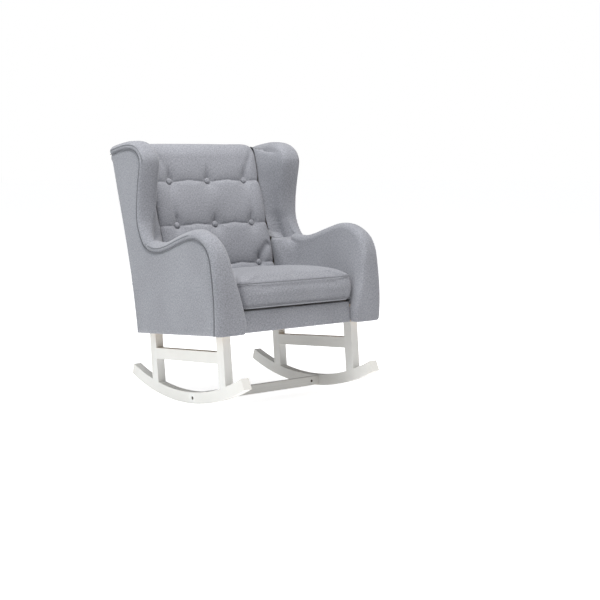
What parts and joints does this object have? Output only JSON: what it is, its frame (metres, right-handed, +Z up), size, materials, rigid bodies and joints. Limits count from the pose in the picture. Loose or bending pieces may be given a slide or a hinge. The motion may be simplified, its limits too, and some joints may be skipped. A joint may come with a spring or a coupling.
{
  "type": "nursery rocking chair",
  "caption": "Upholstered wing rocking chair on curved painted wooden rockers, with a button-tufted back, padded arms and a loose seat cushion that lifts out.",
  "frame": {"origin": "on the floor, under the middle of the chair's overall box at rest", "axes": "-Y is the way the sitter faces, +Z is up, +X is to the sitter's left; the body leans back 5.55 degrees at rest"},
  "size_m": [0.74, 0.8364, 0.9673],
  "materials": {
    "woven_fabric": "matte",
    "painted_base": "satin",
    "bare_timber": "matte",
    "dark_bolts": "satin",
    "zinc_hardware": "satin",
    "spring_steel": "satin",
    "lining_cloth": "matte",
    "felt": "matte",
    "dust_cloth": "matte",
    "webbing": "matte",
    "twine": "matte",
    "foam": "matte",
    "zip_tape": "matte"
  },
  "bodies": {
    "chair": {"left_rocker": "painted_base", "right_rocker": "painted_base", "left_front_leg": "painted_base", "right_front_leg": "painted_base", "left_rear_leg": "painted_base", "right_rear_leg": "painted_base", "left_side_rail": "painted_base", "right_side_rail": "painted_base", "cross_stretcher": "painted_base", "stretcher_bolts": "dark_bolts", "barrel_nuts": "zinc_hardware", "leg_bolts": "dark_bolts", "leg_washers": "zinc_hardware", "front_seat_rail": "bare_timber", "rear_seat_rail": "bare_timber", "left_seat_rail": "bare_timber", "right_seat_rail": "bare_timber", "corner_blocks": "bare_timber", "left_back_post": "bare_timber", "right_back_post": "bare_timber", "back_top_rail": "bare_timber", "back_lower_rail": "bare_timber", "left_arm_post": "bare_timber", "right_arm_post": "bare_timber", "left_arm_rail": "bare_timber", "right_arm_rail": "bare_timber", "left_side_board": "bare_timber", "right_side_board": "bare_timber", "seat_springs": "spring_steel", "spring_clips": "zinc_hardware", "seat_deck": "lining_cloth", "deck_felt": "felt", "dust_cover": "dust_cloth", "back_webbing": "webbing", "back_lining": "lining_cloth", "left_outer_panel": "woven_fabric", "right_outer_panel": "woven_fabric", "left_arm_pad": "woven_fabric", "right_arm_pad": "woven_fabric", "left_wing_pad": "woven_fabric", "right_wing_pad": "woven_fabric", "front_rail_cover": "woven_fabric", "outside_back": "woven_fabric", "back_board": "bare_timber", "back_pad": "woven_fabric", "back_buttons": "woven_fabric", "tufting_ties": "twine", "tie_washers": "zinc_hardware"},
    "seat_cushion": {"cushion_cover": "woven_fabric", "cushion_foam": "foam", "cushion_zip": "zip_tape"},
    "zip_slider": {"zip_slider": "zinc_hardware"}
  },
  "joints": [
    {"name": "cushion_lift", "type": "slide", "parent": "chair", "child": "seat_cushion", "axis": [0, 0.0967, 0.9953], "range_m": [0, 0.3]},
    {"name": "zip_slide", "type": "slide", "parent": "seat_cushion", "child": "zip_slider", "axis": [-1, 0, 0], "range_m": [0, 0.345]}
  ]
}
